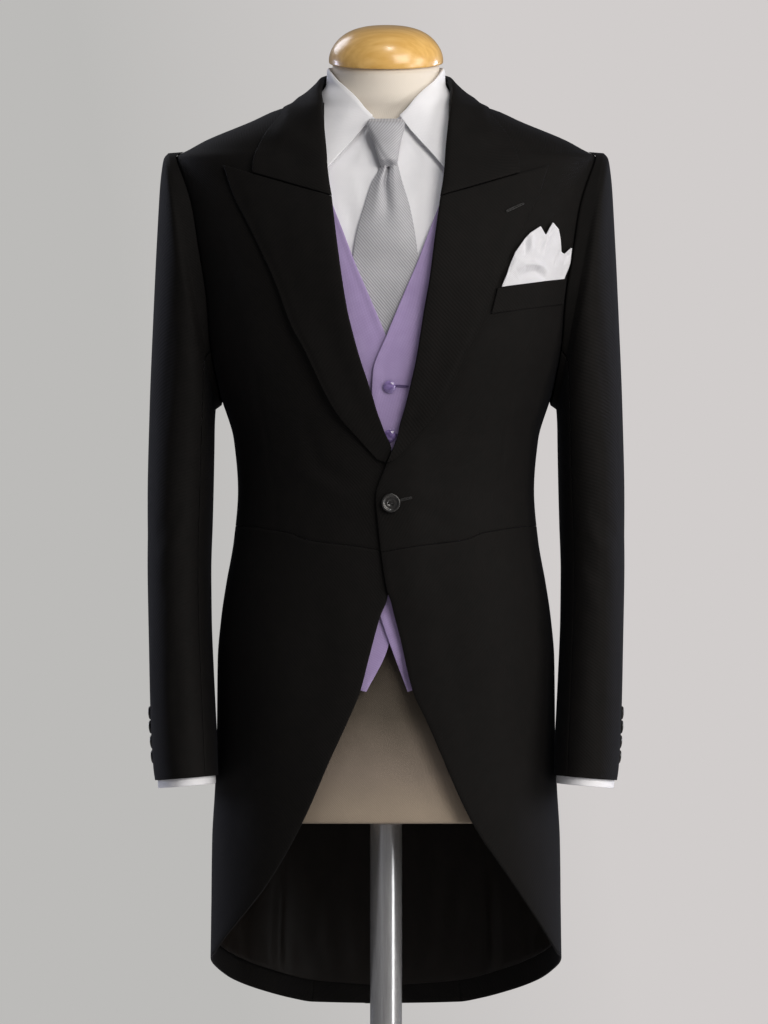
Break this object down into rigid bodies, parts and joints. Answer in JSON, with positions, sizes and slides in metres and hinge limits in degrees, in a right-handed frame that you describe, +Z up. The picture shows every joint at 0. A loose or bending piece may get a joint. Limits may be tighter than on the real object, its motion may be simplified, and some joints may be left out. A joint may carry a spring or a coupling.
{
  "type": "morning suit on a tailor's dress form",
  "caption": "black cutaway morning coat over a mauve waistcoat, white shirt and pale tie, shown on a linen tailor's form with a wooden cap and a steel stand",
  "frame": {"origin": "centre of the stand's plate on the floor, the bottom centre of the whole box", "axes": "+X towards the wearer's left, which is the right side of the picture; +Y towards the back of the suit; +Z up, along the pole"},
  "size_m": [0.4972, 0.35, 1.5788],
  "materials": {
    "coat_wool": "matt plain-woven black worsted",
    "coat_lining": "smooth black lining with a low sheen",
    "waistcoat_silk": "soft mauve cloth with a low sheen",
    "shirt_cotton": "plain white poplin",
    "tie_silk": "pale grey silk twill with a fine diagonal",
    "square_linen": "crisp white linen",
    "coat_button": "black button with a soft shine",
    "waistcoat_button": "button covered in the mauve cloth",
    "form_linen": "natural linen jersey, stretched smooth",
    "cap_wood": "turned wood under amber varnish",
    "stand_steel": "satin steel pole and plate"
  },
  "bodies": {
    "root": {"stand_base": "stand_steel", "stand_pole": "stand_steel", "form_torso": "form_linen", "form_cap": "cap_wood", "coat_forepart_left": "coat_wool", "coat_sidebody_left": "coat_wool", "coat_back_left": "coat_wool", "coat_skirt_left": "coat_wool", "coat_lining_left": "coat_lining", "coat_lapel_left": "coat_wool", "coat_topsleeve_left": "coat_wool", "coat_undersleeve_left": "coat_wool", "shirt_sleeve_left": "shirt_cotton", "shirt_cuff_left": "shirt_cotton", "waistcoat_front_left": "waistcoat_silk", "coat_forepart_right": "coat_wool", "coat_sidebody_right": "coat_wool", "coat_back_right": "coat_wool", "coat_skirt_right": "coat_wool", "coat_lining_right": "coat_lining", "coat_lapel_right": "coat_wool", "coat_topsleeve_right": "coat_wool", "coat_undersleeve_right": "coat_wool", "shirt_sleeve_right": "shirt_cotton", "shirt_cuff_right": "shirt_cotton", "waistcoat_front_right": "waistcoat_silk", "coat_collar": "coat_wool", "coat_collar_stand": "coat_wool", "coat_breast_welt": "coat_wool", "pocket_square": "square_linen", "waistcoat_back": "waistcoat_silk", "shirt_front_left": "shirt_cotton", "shirt_front_right": "shirt_cotton", "shirt_back": "shirt_cotton", "shirt_neckband": "shirt_cotton", "shirt_collar_left": "shirt_cotton", "shirt_collar_right": "shirt_cotton", "tie_blade": "tie_silk", "tie_knot": "tie_silk", "coat_front_button": "coat_button", "coat_waist_button_left": "coat_button", "coat_cuff_button_left_1": "coat_button", "coat_cuff_button_left_2": "coat_button", "coat_cuff_button_left_3": "coat_button", "coat_cuff_button_left_4": "coat_button", "coat_waist_button_right": "coat_button", "coat_cuff_button_right_1": "coat_button", "coat_cuff_button_right_2": "coat_button", "coat_cuff_button_right_3": "coat_button", "coat_cuff_button_right_4": "coat_button", "waistcoat_button_1": "waistcoat_button", "waistcoat_button_2": "waistcoat_button", "waistcoat_button_3": "waistcoat_button", "waistcoat_button_4": "waistcoat_button", "waistcoat_button_5": "waistcoat_button"}
  },
  "joints": []
}
